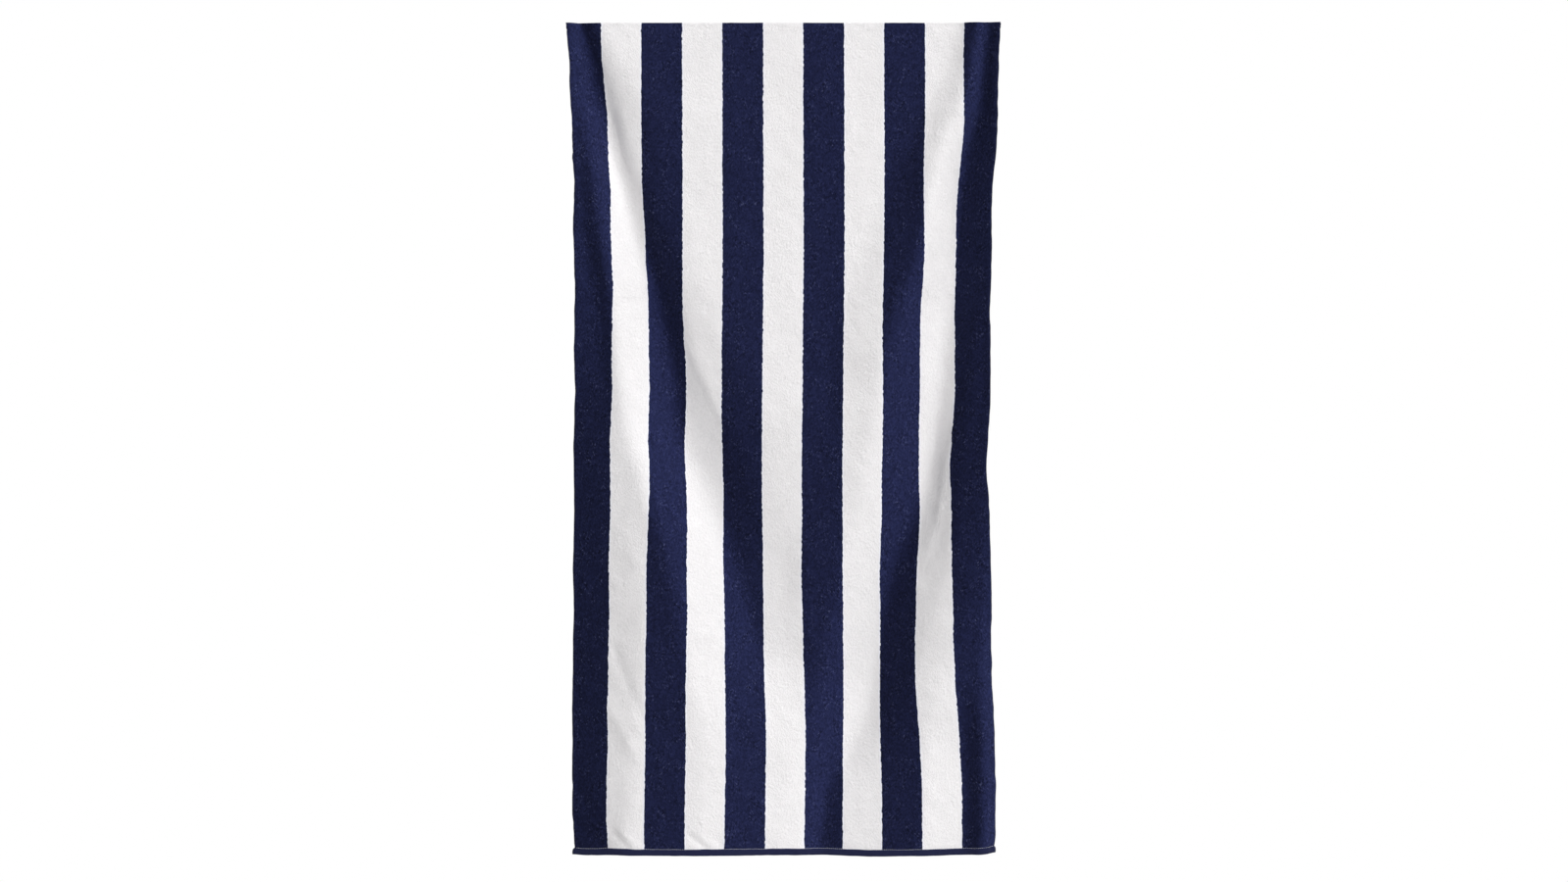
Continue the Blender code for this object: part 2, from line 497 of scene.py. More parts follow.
# %% Press in the small creases
# Each row: from (across, down), to (across, down), half width, height
CREASES = (
    ((-314, 1480), (-286, 1508), 6.0, -2.9),
    ((-296, 1482), (-270, 1509), 5.0, 1.2),
    ((-262, 1494), (-250, 1510), 5.0, -1.2),
    ((-171, 1488), (-144, 1510), 6.0, -2.6),
    ((-150, 1490), (-130, 1508), 5.0, 1.1),
    ((-122, 1496), (-112, 1510), 4.5, -1.2),
    ((-392, 1466), (-332, 1506), 9.0, -2.6),
    ((-386, 1400), (-362, 1440), 10.0, -2.4),
    ((-318, 1146), (-262, 1270), 10.0, -1.8),
    ((-330, 1240), (-268, 1350), 11.0, 1.6),
    ((-30, 1500), (-18, 1512), 5.0, -0.9),
    ((206, 1496), (196, 1510), 5.0, -1.0),
    ((-366, 14), (-333, 100), 6.0, -1.6),
    ((-324, 170), (-300, 246), 6.5, -1.1),
    ((-300, 246), (-262, 328), 6.5, -1.3),
    ((-184, 604), (-122, 735), 9.0, -1.0),
    ((-163, 612), (-103, 742), 9.0, 1.0),
    ((331, 750), (302, 890), 10.0, 1.5),
    ((302, 890), (272, 980), 10.0, 1.2),
)


def crease_height(place, fall):
    """How far the small creases lift the cloth at each place of one row."""
    height = np.zeros_like(place)
    for (across_a, down_a), (across_b, down_b), half_width, lift in CREASES:
        run = np.array((across_b - across_a, down_b - down_a), dtype=float)
        share = ((place - across_a) * run[0] + (fall - down_a) * run[1]) / (run @ run)
        share = np.clip(share, 0.0, 1.0)
        apart = np.hypot(place - across_a - share * run[0], fall - down_a - share * run[1])
        height += lift * np.exp(-((apart / half_width) ** 2))
    return height


depth += np.array([crease_height(across, fall) for fall in down])
print(len(CREASES), "small creases")

# %% Make the pile uneven
# Each row: how often the random field is smoothed, its usual height in millimetres
UNEVENNESS = (
    (2, 0.18),
    (14, 0.25),
    (60, 0.60),
)


def smoothed_field(shape, times, seed):
    """Random numbers spread evenly over the grid, smoothed by their neighbours."""
    field = np.random.default_rng(seed).normal(size=shape)
    for _ in range(times):
        for axis in (0, 1):
            field = (np.roll(field, 1, axis) + 2 * field + np.roll(field, -1, axis)) / 4
    return field / field.std()


for seed, (times, height) in enumerate(UNEVENNESS):
    depth += height * smoothed_field(depth.shape, times, seed)
print(len(UNEVENNESS), "layers of unevenness in the pile")

# %% [markdown]
# ## Hang the cloth
# Cloth bends but hardly stretches. Where it runs forwards or back, a step of 5 mm of cloth
# covers less than 5 mm of width, so each row is laid out step by step with Pythagoras.
# That alone makes the stripes narrow on the slopes and the towel taper, as it should.

# %% Carry each point to its place
# Sideways drift of the middle: down, across
SWAY = (
    (0, 1.5),
    (420, 2.5),
    (820, -1.0),
    (1160, 2.5),
    (1310, 6.5),
    (1524, 4.0),
)
# Unevenness of the bottom edge: across, how much lower it hangs
BOTTOM_LINE = (
    (-397, 2.5),
    (-370, 3.0),
    (-320, 0.5),
    (0, 0.0),
    (160, 2.5),
    (290, -0.5),
    (360, -2.0),
    (397, -5.0),
)
# The side edge near the bottom hem: distance up from the bottom, how far it stands out
SIDE_PULL = (
    (0.0, 0.8),
    (9.0, 0.8),
    (12.5, -2.2),
    (17.0, -1.4),
    (40.0, 0.0),
)
SIDE_REACH = 14.0

LEAST_STEP = 0.25  # no step is laid out narrower than this share of its cloth

spacing = np.diff(across)[None, :]
steps = np.sqrt(np.maximum(spacing**2 - np.diff(depth, axis=1) ** 2, (LEAST_STEP * spacing) ** 2))
side = np.concatenate((np.zeros((len(down), 1)), np.cumsum(steps, axis=1)), axis=1)
middle = np.array([np.interp(0.0, across, row) for row in side])
lower = np.interp(across, *zip(*BOTTOM_LINE))

points = np.zeros((len(down), len(across), 3))
points[:, :, 0] = side - middle[:, None] + np.interp(down, *zip(*SWAY))[:, None]
points[:, :, 1] = -depth
points[:, :, 2] = -(HUNG_LENGTH + lower[None, :]) * down[:, None] / FLAT_LENGTH

pull = np.interp(from_bottom, *zip(*SIDE_PULL))
near_side = np.exp(-(FLAT_WIDTH / 2 - np.abs(across)) / SIDE_REACH) * np.sign(across)
points[:, :, 0] += pull[:, None] * near_side[None, :]

top_forward = np.interp(0.0, across, points[0, :, 1])
points -= np.array([points[0, :, 0].mean(), top_forward, points[0, :, 2].max()])
print("hanging width at the top", round(np.ptp(points[0, :, 0])), "mm")

# %% [markdown]
# ## Give the cloth its thickness
# A Solidify modifier would make one even thickness, but a hem is thicker than the cloth
# and rounded. So both faces are made here: each point is pushed out along its normal by
# what its row's section says, and a rim joins the two faces all round.

# %% Find the two faces
outwards = np.cross(np.gradient(points, axis=0), np.gradient(points, axis=1))
outwards /= np.linalg.norm(outwards, axis=2, keepdims=True)
top_places, *top_faces = zip(*TOP_HEM)
bottom_places, *bottom_faces = zip(*BOTTOM_HEM)
upper_half = down < FLAT_LENGTH / 2
front_offset, back_offset = (
    np.where(
        upper_half,
        np.interp(from_top, top_places, at_top),
        np.interp(from_bottom, bottom_places, at_bottom),
    )
    for at_top, at_bottom in zip(top_faces, bottom_faces)
)
face_points = points + outwards * front_offset[:, None, None]
back_points = points - outwards * back_offset[:, None, None]
thickness = front_offset + back_offset
print("thickness from", thickness.min(), "to", thickness.max(), "mm")

# %% Join the faces into one mesh
FACE, BACK, HEM = 0, 1, 2


def quads(rows, row_length, start, turned):
    """Four corners of each grid cell, in order round the cell."""
    corner = np.arange(rows - 1)[:, None] * row_length + np.arange(row_length - 1)[None, :]
    cells = np.stack((corner, corner + row_length, corner + row_length + 1, corner + 1), axis=2)
    cells = cells.reshape(-1, 4) + start
    return cells[:, ::-1] if turned else cells


rows, row_length = points.shape[:2]
count = rows * row_length
front_cells = quads(rows, row_length, 0, False)
back_cells = quads(rows, row_length, count, True)
rim = list(range(row_length))
rim += [row * row_length + row_length - 1 for row in range(1, rows)]
rim += [(rows - 1) * row_length + column for column in range(row_length - 2, -1, -1)]
rim += [row * row_length for row in range(rows - 2, 0, -1)]
rim = np.array(rim)
after = np.roll(rim, -1)
rim_cells = np.stack((rim, after, after + count, rim + count), axis=1)
cells = np.concatenate((front_cells, back_cells, rim_cells))

cloth_mesh = bpy.data.meshes.new("cloth")
corners = np.concatenate((face_points, back_points)).reshape(-1, 3) * MM
cloth_mesh.from_pydata(corners.tolist(), [], cells.tolist())
cloth_mesh.shade_smooth()
cloth = bpy.data.objects.new("cloth", cloth_mesh)
bpy.context.scene.collection.objects.link(cloth)
print(len(cells), "faces in the cloth")

# %% [markdown]
# ## Remember where each point lay in the flat cloth
# Stripes, pile and weave belong to the cloth, not to the room, so their patterns must bend
# with it. A UV map does that: it stores each point's place across and down the flat cloth,
# here in metres, and the materials read it. A second map lays both sides next to each
# other in one square, for anyone who bakes the finish into pictures. An attribute says how
# far each place turns to the right. The face's navy is painted lighter where the cloth turns
# right, towards the key lamp, and darker where it turns left: painted light and shade.

# %% Write the two maps
SHEET_MARGIN = 0.01

# Painted light: how far each place turns to the right, which lightens or darkens the face's navy
slope_for_painted_light = -np.gradient(depth, across, axis=1)
cloth_mesh.attributes.new("slope_for_painted_light", "FLOAT", "POINT")
cloth_mesh.attributes["slope_for_painted_light"].data.foreach_set("value", np.tile(slope_for_painted_light.ravel(), 2).astype(np.float32))

flat_across = np.tile(np.repeat(across[None, :], rows, axis=0).ravel(), 2) * MM
flat_down = np.tile(np.repeat(down[:, None], row_length, axis=1).ravel(), 2) * MM
loops = cells.ravel()
flat = np.stack((flat_across[loops], flat_down[loops]), axis=1)
cloth_mesh.uv_layers.new(name="flat").uv.foreach_set("vector", flat.ravel())

is_back = np.repeat(np.arange(len(cells)) >= len(front_cells), 4)
is_back[4 * (len(front_cells) + len(back_cells)):] = False
share_across = flat[:, 0] / (FLAT_WIDTH * MM) + 0.5
sheet = np.stack((
    (share_across * (1 - 4 * SHEET_MARGIN) + 2 * SHEET_MARGIN + is_back) / 2,
    1 - SHEET_MARGIN - flat[:, 1] / (FLAT_LENGTH * MM) * (1 - 2 * SHEET_MARGIN),
), axis=1)
cloth_mesh.uv_layers.new(name="OFBake").uv.foreach_set("vector", sheet.ravel())

cell_down = flat_down[cells].mean(axis=1) / MM
finish_index = np.full(len(cells), FACE)
back_slice = slice(len(front_cells), len(front_cells) + len(back_cells))
finish_index[back_slice] = np.where(cell_down[back_slice] < TOP_TURN + HEM_DEPTH, HEM, BACK)
finish_index[cell_down > FLAT_LENGTH - HEM_DEPTH] = HEM
print(int((finish_index == HEM).sum()), "faces in the hems")

# %% [markdown]
# ## The finish: small tools for patterns
# Each pattern is a shader node group with named inputs, so one pattern can serve several
# materials at different sizes. These helpers keep the wiring short.

# %% Helpers for shader groups
SOCKET_KINDS = {
    "value": "NodeSocketFloat",
    "colour": "NodeSocketColor",
    "vector": "NodeSocketVector",
}
MIDDLE = 0.5  # of values that run from 0 to 1


def new_pattern(name, inputs, outputs):
    """A shader node group with those sockets: the group, its inputs and its outputs."""
    group = bpy.data.node_groups.new(name, "ShaderNodeTree")
    for in_out, sockets in (("INPUT", inputs), ("OUTPUT", outputs)):
        for socket, kind in sockets:
            group.interface.new_socket(name=socket, in_out=in_out, socket_type=SOCKET_KINDS[kind])
    given = put(group, "NodeGroupInput").outputs
    result = put(group, "NodeGroupOutput").inputs
    return group, given, result


def calculate(tree, operation, *values):
    """The result of one sum on numbers."""
    node = put(tree, "ShaderNodeMath", operation=operation)
    for socket, value in zip(node.inputs, values):
        feed(tree, socket, value)
    return node.outputs[0]


def vector(tree, operation, *values):
    """The result of one sum on places."""
    node = put(tree, "ShaderNodeVectorMath", operation=operation)
    for socket, value in zip(node.inputs, values):
        feed(tree, socket, value)
    return node.outputs[0]


def noise(tree, place, detail):
    """Soft random values from 0 to 1, about one blob to each unit of place."""
    node = put(tree, "ShaderNodeTexNoise")
    feed(tree, node.inputs["Vector"], place)
    feed(tree, node.inputs["Scale"], 1.0)
    feed(tree, node.inputs["Detail"], detail)
    return node.outputs["Fac"]


def ramp(tree, value, low, high):
    """0 where value is low and 1 where it is high, with soft ends."""
    node = put(tree, "ShaderNodeMapRange", interpolation_type="SMOOTHSTEP")
    feed(tree, node.inputs["Value"], value)
    feed(tree, node.inputs["From Min"], low)
    feed(tree, node.inputs["From Max"], high)
    return node.outputs["Result"]


def blend(tree, share, first, second):
    """A colour between first and second."""
    node = put(tree, "ShaderNodeMix", data_type="RGBA")
    feed(tree, node.inputs["Factor"], share)
    feed(tree, node.inputs["A"], first)
    feed(tree, node.inputs["B"], second)
    return node.outputs["Result"]


print("pattern helpers ready")

# %% [markdown]
# ## Stripes
# The stripes are woven in: warp yarns of one colour stand side by side, and the pile of
# one stripe leans a little over the next. So a border is a straight line that wanders by
# less than a millimetre and jumps from one row of tufts to the next. Close to a border
# white looks a little cooler, from the navy beside it. The towel is the same on both sides
# of its middle, so the pattern reads the distance from the middle and turns from white to
# navy and back at each border.

# %% The stripe pattern
NAVY = (0.0128, 0.0160, 0.0526, 1.0)
WHITE = (0.828, 0.812, 0.821, 1.0)
COOL_WHITE = (0.845, 0.850, 0.940, 1.0)
BORDER_HALF_WIDTH = 0.0004
BORDER_RIM = 0.0038
# Blobs of noise to a metre: across for the jumps, across and down for the wander
JUMP_BLOBS = 20.0
WANDER_BLOBS = (12.0, 45.0, 0.0)
ROW_STRIDE = 7.31  # far enough apart in the noise that each row of tufts jumps by itself

borders = np.cumsum((0.0,) + STRIPE_WIDTHS) - FLAT_WIDTH / 2
right_borders = [float(place) * MM for place in borders[:-1] if place > 0]

stripes, given, result = new_pattern(
    "stripes",
    (("Place", "vector"), ("Navy", "colour"), ("White", "colour"), ("White Rim", "colour"),
     ("Tuft Pitch", "value"), ("Tuft Jump", "value"), ("Wander", "value")),
    (("Color", "colour"), ("White Share", "value")),
)
parts = put(stripes, "ShaderNodeSeparateXYZ")
feed(stripes, parts.inputs[0], given["Place"])
rows_down = calculate(stripes, "DIVIDE", parts.outputs["Y"], given["Tuft Pitch"])
tuft_row = calculate(stripes, "FLOOR", rows_down)
row_place = put(stripes, "ShaderNodeCombineXYZ")
place_across = calculate(stripes, "MULTIPLY", parts.outputs["X"], JUMP_BLOBS)
feed(stripes, row_place.inputs["X"], place_across)
feed(stripes, row_place.inputs["Y"], calculate(stripes, "MULTIPLY", tuft_row, ROW_STRIDE))
jump = noise(stripes, row_place.outputs[0], detail=0.0)
jump = calculate(stripes, "SUBTRACT", jump, MIDDLE)
wander_place = vector(stripes, "MULTIPLY", given["Place"], WANDER_BLOBS)
wander = noise(stripes, wander_place, detail=1.0)
wander = calculate(stripes, "SUBTRACT", wander, MIDDLE)
moved = calculate(stripes, "MULTIPLY_ADD", jump, given["Tuft Jump"], parts.outputs["X"])
moved = calculate(stripes, "MULTIPLY_ADD", wander, given["Wander"], moved)
from_middle = calculate(stripes, "ABSOLUTE", moved)
white_share = 1.0
rim_share = 0.0
for number, border in enumerate(right_borders):
    step = ramp(stripes, from_middle, border - BORDER_HALF_WIDTH, border + BORDER_HALF_WIDTH)
    white_share = calculate(stripes, "SUBTRACT" if number % 2 == 0 else "ADD", white_share, step)
    apart = calculate(stripes, "ABSOLUTE", calculate(stripes, "SUBTRACT", from_middle, border))
    rim_share = calculate(stripes, "ADD", rim_share, ramp(stripes, apart, BORDER_RIM, 0.0))
white = blend(stripes, rim_share, given["White"], given["White Rim"])
feed(stripes, result["Color"], blend(stripes, white_share, given["Navy"], white))
feed(stripes, result["White Share"], white_share)
print("stripe borders at", [round(border, 4) for border in right_borders], "m from the middle")

# %% [markdown]
# ## Velour pile
# Sheared pile is a field of cut tufts, each about 2 mm wide and a little lighter or darker
# than the next, and brushed into short strokes that lean one way here and another there.
# Some patches are ruffled more than others and show more stray fibres, and there a few
# tufts at a time cling together in clumps. A Voronoi cell with its own random tone stands
# for a tuft, stretched noise for the strokes, and broader noise for the clumps.

# %% The velour pattern
# How many of each go to one unit of place, which is the tuft size: across and down
TUFT_SHAPE = (1.0, 0.7, 0.0)
STROKE_SHAPE = (1.5, 0.45, 0.0)
CLUMP_SHAPE = (0.55, 0.38, 0.0)
RUFFLED_SHAPE = (0.11, 0.08, 0.0)
LEAN_SHAPE = (0.06, 0.045, 0.0)
# The values between which each pattern goes softly from nothing to full
STROKE_RANGE = (0.32, 0.68)
LEAN_RANGE = (0.45, 0.55)
RUFFLED_RANGE = (0.38, 0.66)
LINT_STROKE_RANGE = (0.72, 1.0)
LINT_TUFT_RANGE = (0.55, 0.95)

STROKE_LEANS = (0.5, -0.65)  # the two ways the strokes lean, in radians
TUFT_WEIGHT = 0.55
STROKE_WEIGHT = 0.45
CLUMP_HEIGHT = 0.75
CLUMPS_EVERYWHERE = 0.4  # how strongly clumps stand out even where nothing is ruffled

velour, given, result = new_pattern(
    "velour",
    (("Place", "vector"), ("Tuft Size", "value"), ("Patch Contrast", "value")),
    (("Height", "value"), ("Shade", "value"), ("Lint", "value")),
)
tuft_size = put(velour, "ShaderNodeCombineXYZ")
for socket in tuft_size.inputs:
    feed(velour, socket, given["Tuft Size"])
place = vector(velour, "DIVIDE", given["Place"], tuft_size.outputs[0])
tuft = put(velour, "ShaderNodeTexVoronoi", voronoi_dimensions="2D")
feed(velour, tuft.inputs["Vector"], vector(velour, "MULTIPLY", place, TUFT_SHAPE))
feed(velour, tuft.inputs["Scale"], 1.0)
tuft_tone = put(velour, "ShaderNodeSeparateColor")
feed(velour, tuft_tone.inputs[0], tuft.outputs["Color"])

brushed = []
for lean in STROKE_LEANS:
    turn = put(velour, "ShaderNodeVectorRotate", rotation_type="Z_AXIS")
    feed(velour, turn.inputs["Vector"], place)
    feed(velour, turn.inputs["Angle"], lean)
    stroke_place = vector(velour, "MULTIPLY", turn.outputs[0], STROKE_SHAPE)
    brushed.append(ramp(velour, noise(velour, stroke_place, detail=1.0), *STROKE_RANGE))
lean_place = vector(velour, "MULTIPLY", place, LEAN_SHAPE)
one_lean = ramp(velour, noise(velour, lean_place, detail=1.0), *LEAN_RANGE)
other_lean = calculate(velour, "SUBTRACT", 1.0, one_lean)
strokes = calculate(velour, "ADD",
                    calculate(velour, "MULTIPLY", brushed[0], one_lean),
                    calculate(velour, "MULTIPLY", brushed[1], other_lean))

weighted = calculate(velour, "MULTIPLY", strokes, STROKE_WEIGHT)
fine = calculate(velour, "MULTIPLY_ADD", tuft_tone.outputs[0], TUFT_WEIGHT, weighted)
ruffled_place = vector(velour, "MULTIPLY", place, RUFFLED_SHAPE)
ruffled = ramp(velour, noise(velour, ruffled_place, detail=2.0), *RUFFLED_RANGE)
contrast = calculate(velour, "MULTIPLY_ADD", ruffled, given["Patch Contrast"], 1.0)
from_even = calculate(velour, "SUBTRACT", fine, MIDDLE)
stroke_tips = ramp(velour, strokes, *LINT_STROKE_RANGE)
pale_tufts = ramp(velour, tuft_tone.outputs[0], *LINT_TUFT_RANGE)
lint = calculate(velour, "MULTIPLY", stroke_tips, pale_tufts)
clumps = noise(velour, vector(velour, "MULTIPLY", place, CLUMP_SHAPE), detail=1.0)
clumped = calculate(velour, "ADD", ruffled, CLUMPS_EVERYWHERE)
clump_height = calculate(velour, "MULTIPLY", CLUMP_HEIGHT, clumped)
feed(velour, result["Height"], calculate(velour, "MULTIPLY_ADD", clumps, clump_height, fine))
feed(velour, result["Shade"], calculate(velour, "MULTIPLY_ADD", from_even, contrast, MIDDLE))
feed(velour, result["Lint"], calculate(velour, "MULTIPLY", lint, ruffled))
print("velour pattern ready")

# %% [markdown]
# ## Terry loops
# On the back the loops are whole. They stand in rows, each loop 2 to 3 mm wide, and they
# look like small round beads with dark gaps. A Voronoi texture makes one bead to a cell, and
# the same bead darkens the colour towards the gaps as painted shade.

# %% The loop pattern
LOOP_DISORDER = 0.75
BEAD_EDGE_TO_TOP = (0.75, 0.05)  # distances from a bead's middle, in loop sizes

terry_loops, given, result = new_pattern(
    "terry loops",
    (("Place", "vector"), ("Loop Size", "value")),
    (("Height", "value"), ("Shade", "value")),
)
loop_size = put(terry_loops, "ShaderNodeCombineXYZ")
for socket in loop_size.inputs:
    feed(terry_loops, socket, given["Loop Size"])
cell = put(terry_loops, "ShaderNodeTexVoronoi")
loop_place = vector(terry_loops, "DIVIDE", given["Place"], loop_size.outputs[0])
feed(terry_loops, cell.inputs["Vector"], loop_place)
feed(terry_loops, cell.inputs["Scale"], 1.0)
feed(terry_loops, cell.inputs["Randomness"], LOOP_DISORDER)
bead = ramp(terry_loops, cell.outputs["Distance"], *BEAD_EDGE_TO_TOP)
feed(terry_loops, result["Height"], bead)
# The Shade is the same bead, so the gaps between beads are painted shade
feed(terry_loops, result["Shade"], bead)
print("loop pattern ready")

# %% [markdown]
# ## Flat weave
# The hem is woven without pile, so that it folds thin enough to stitch. Close up it shows
# fine ribs across the towel, crossed by the warp.

# %% The hem's weave pattern
YARN_BLOBS = (260.0, 700.0, 0.0)  # blobs of noise to a metre, across and down

flat_weave, given, result = new_pattern(
    "flat weave",
    (("Place", "vector"), ("Rib Pitch", "value")),
    (("Height", "value"), ("Shade", "value")),
)
parts = put(flat_weave, "ShaderNodeSeparateXYZ")
feed(flat_weave, parts.inputs[0], given["Place"])
turns = calculate(flat_weave, "DIVIDE", 2 * math.pi, given["Rib Pitch"])
warp = calculate(flat_weave, "SINE", calculate(flat_weave, "MULTIPLY", parts.outputs["X"], turns))
weft = calculate(flat_weave, "SINE", calculate(flat_weave, "MULTIPLY", parts.outputs["Y"], turns))
woven = calculate(flat_weave, "MULTIPLY", warp, weft)
yarn_place = vector(flat_weave, "MULTIPLY", given["Place"], YARN_BLOBS)
uneven = noise(flat_weave, yarn_place, detail=2.0)
feed(flat_weave, result["Height"], ramp(flat_weave, woven, -1.0, 1.0))
feed(flat_weave, result["Shade"], uneven)
print("weave pattern ready")

# %% [markdown]
# ## The three finishes of the cloth
# Pile scatters light in every direction: it has no gloss, but yarn tips seen edge on glow
# softly, which is what the sheen of the Principled shader is for. Navy pile shows this far
# more than white, because so little other light comes back from it.

# %% Helpers for the finishes
def new_finish(name, roughness, sheen, sheen_roughness, gloss):
    """A material with a Principled shader: the material, its node tree and the shader."""
    material = bpy.data.materials.new(name)
    material.use_nodes = True
    tree = material.node_tree
    shader = tree.nodes["Principled BSDF"]
    shader.inputs["Roughness"].default_value = roughness
    shader.inputs["Sheen Weight"].default_value = sheen
    shader.inputs["Sheen Roughness"].default_value = sheen_roughness
    shader.inputs["Specular IOR Level"].default_value = gloss
    return material, tree, shader


def use_pattern(tree, group, **values):
    """Places a pattern in a material, with its inputs named in words_with_underscores."""
    node = put(tree, "ShaderNodeGroup", node_tree=group)
    for name, value in values.items():
        feed(tree, node.inputs[name.replace("_", " ")], value)
    return node.outputs


def flat_place(tree):
    """Where each point lay in the flat cloth, in metres."""
    return put(tree, "ShaderNodeUVMap", uv_map="flat").outputs["UV"]


def shaded(tree, colour, shade, least, most):
    """colour made darker or lighter, from least where shade is 0 to most where it is 1."""
    span = calculate(tree, "SUBTRACT", most, least)
    strength = calculate(tree, "MULTIPLY_ADD", shade, span, least)
    grey = put(tree, "ShaderNodeCombineColor")
    for socket in grey.inputs:
        feed(tree, socket, strength)
    node = put(tree, "ShaderNodeMix", data_type="RGBA", blend_type="MULTIPLY")
    feed(tree, node.inputs["Factor"], 1.0)
    feed(tree, node.inputs["A"], colour)
    feed(tree, node.inputs["B"], grey.outputs[0])
    return node.outputs["Result"]


def raise_surface(tree, shader, height, distance, strength):
    """Bumps the surface by up to distance, in metres."""
    bump = put(tree, "ShaderNodeBump")
    bump.inputs["Distance"].default_value = distance
    bump.inputs["Strength"].default_value = strength
    feed(tree, bump.inputs["Height"], height)
    feed(tree, shader.inputs["Normal"], bump.outputs[0])


print("finish helpers ready")

# %% The velour face
# Each shade: how dark the darkest and how light the lightest pile is beside the plain colour
NAVY_SHADE = (0.58, 1.42)
WHITE_SHADE = (0.965, 1.025)
# Painted light and shade: navy that turns right, towards the key lamp, is painted lighter, and
# navy that turns left is painted darker
PAINTED_LIGHT_SLOPES = (-0.45, 0.60)  # slopes, from turned left to turned right
PAINTED_LIGHT_SHADE = (0.68, 1.30)
LINT_COLOUR = (0.120, 0.130, 0.215, 1.0)
LINT_STRENGTH = 0.36

velour_face, tree, shader = new_finish(
    "velour face", roughness=0.95, sheen=0.02, sheen_roughness=0.45, gloss=0.05)
place = flat_place(tree)
# Painted light and shade on the navy, set by how far each place turns to the right
turned_right = put(tree, "ShaderNodeAttribute", attribute_name="slope_for_painted_light").outputs["Fac"]
painted_light_share = ramp(tree, turned_right, *PAINTED_LIGHT_SLOPES)
navy_with_painted_light = shaded(tree, NAVY, painted_light_share, *PAINTED_LIGHT_SHADE)
colour = use_pattern(tree, stripes, Place=place, Navy=navy_with_painted_light, White=WHITE,
                     White_Rim=COOL_WHITE, Tuft_Pitch=0.0048, Tuft_Jump=0.0026, Wander=0.0016)
pile = use_pattern(tree, velour, Place=place, Tuft_Size=0.0024, Patch_Contrast=0.7)
white_share = colour["White Share"]
least = calculate(tree, "MULTIPLY_ADD", white_share, WHITE_SHADE[0] - NAVY_SHADE[0], NAVY_SHADE[0])
most = calculate(tree, "MULTIPLY_ADD", white_share, WHITE_SHADE[1] - NAVY_SHADE[1], NAVY_SHADE[1])
pile_colour = shaded(tree, colour["Color"], pile["Shade"], least, most)
on_navy = calculate(tree, "SUBTRACT", 1.0, white_share)
lint_here = calculate(tree, "MULTIPLY", on_navy, LINT_STRENGTH)
lint_share = calculate(tree, "MULTIPLY", pile["Lint"], lint_here)
feed(tree, shader.inputs["Base Color"], blend(tree, lint_share, pile_colour, LINT_COLOUR))
raise_surface(tree, shader, pile["Height"], distance=0.0016, strength=0.65)
cloth_mesh.materials.append(velour_face)
print("velour face ready")

# %% The looped back
loop_back, tree, shader = new_finish(
    "looped back", roughness=0.95, sheen=0.12, sheen_roughness=0.45, gloss=0.12)
place = flat_place(tree)
colour = use_pattern(tree, stripes, Place=place, Navy=NAVY, White=WHITE, White_Rim=WHITE,
                     Tuft_Pitch=0.0026, Tuft_Jump=0.0026, Wander=0.0016)
loops_here = use_pattern(tree, terry_loops, Place=place, Loop_Size=0.0026)
# Painted shade in the gaps between loops, darker towards each bead's edge
loop_colour_with_painted_gap_shade = shaded(tree, colour["Color"], loops_here["Shade"], least=0.70, most=1.10)
feed(tree, shader.inputs["Base Color"], loop_colour_with_painted_gap_shade)
raise_surface(tree, shader, loops_here["Height"], distance=0.0014, strength=0.7)
cloth_mesh.materials.append(loop_back)
print("looped back ready")

# %% The woven hem
HEM_NAVY = (0.0090, 0.0115, 0.0450, 1.0)

woven_hem, tree, shader = new_finish(
    "woven hem", roughness=0.85, sheen=0.06, sheen_roughness=0.4, gloss=0.2)
weave = use_pattern(tree, flat_weave, Place=flat_place(tree), Rib_Pitch=0.0011)
hem_colour = shaded(tree, HEM_NAVY, weave["Shade"], least=0.6, most=1.5)
feed(tree, shader.inputs["Base Color"], hem_colour)
raise_surface(tree, shader, weave["Height"], distance=0.0003, strength=0.6)
cloth_mesh.materials.append(woven_hem)
cloth_mesh.polygons.foreach_set("material_index", finish_index.astype(np.int32))
cloth_mesh.update()
print("woven hem ready")

# %% [markdown]
# ## Hem stitches
# A lockstitch holds each hem along its inner edge with a pale thread that is plain to see
# on navy and lost on white. At the top it only shows on the back: on the face it sinks
# into the pile. Hundreds of equal stitches along a line are work for Geometry Nodes: the
# script lays the seam as a line on the cloth, and the tree puts one small stitch after
# another along it.

# %% Draw the seam lines on the cloth
SEAM_INSET = 3.0
THREAD_PROUD = 0.25

top_seam = int(np.argmin(np.abs(from_top - HEM_DEPTH)))
bottom_seam = int(np.argmin(np.abs(from_bottom - HEM_DEPTH)))
inside = np.abs(across) < FLAT_WIDTH / 2 - SEAM_INSET
seam_points = []
seam_edges = []
seam_normals = []
for row, surface, sign in (
    (top_seam, back_points, -1.0),
    (bottom_seam, face_points, 1.0),
    (bottom_seam, back_points, -1.0),
):
    line = surface[row, inside] + sign * THREAD_PROUD * outwards[row, inside]
    start = len(seam_points)
    seam_points += (line * MM).tolist()
    seam_normals += (sign * outwards[row, inside]).tolist()
    seam_edges += [(start + step, start + step + 1) for step in range(len(line) - 1)]

seam_mesh = bpy.data.meshes.new("seam")
seam_mesh.from_pydata(seam_points, seam_edges, [])
seam_mesh.attributes.new("outward", "FLOAT_VECTOR", "POINT")
seam_mesh.attributes["outward"].data.foreach_set("vector", np.array(seam_normals).ravel())
seam = bpy.data.objects.new("seam", seam_mesh)
bpy.context.scene.collection.objects.link(seam)
print("three lines of stitches:", len(seam_points), "points")

# %% The thread's finish
THREAD_COLOUR = (0.62, 0.64, 0.72, 1.0)
TWIST_BLOBS = (900.0, 900.0, 900.0)  # blobs of noise to a metre

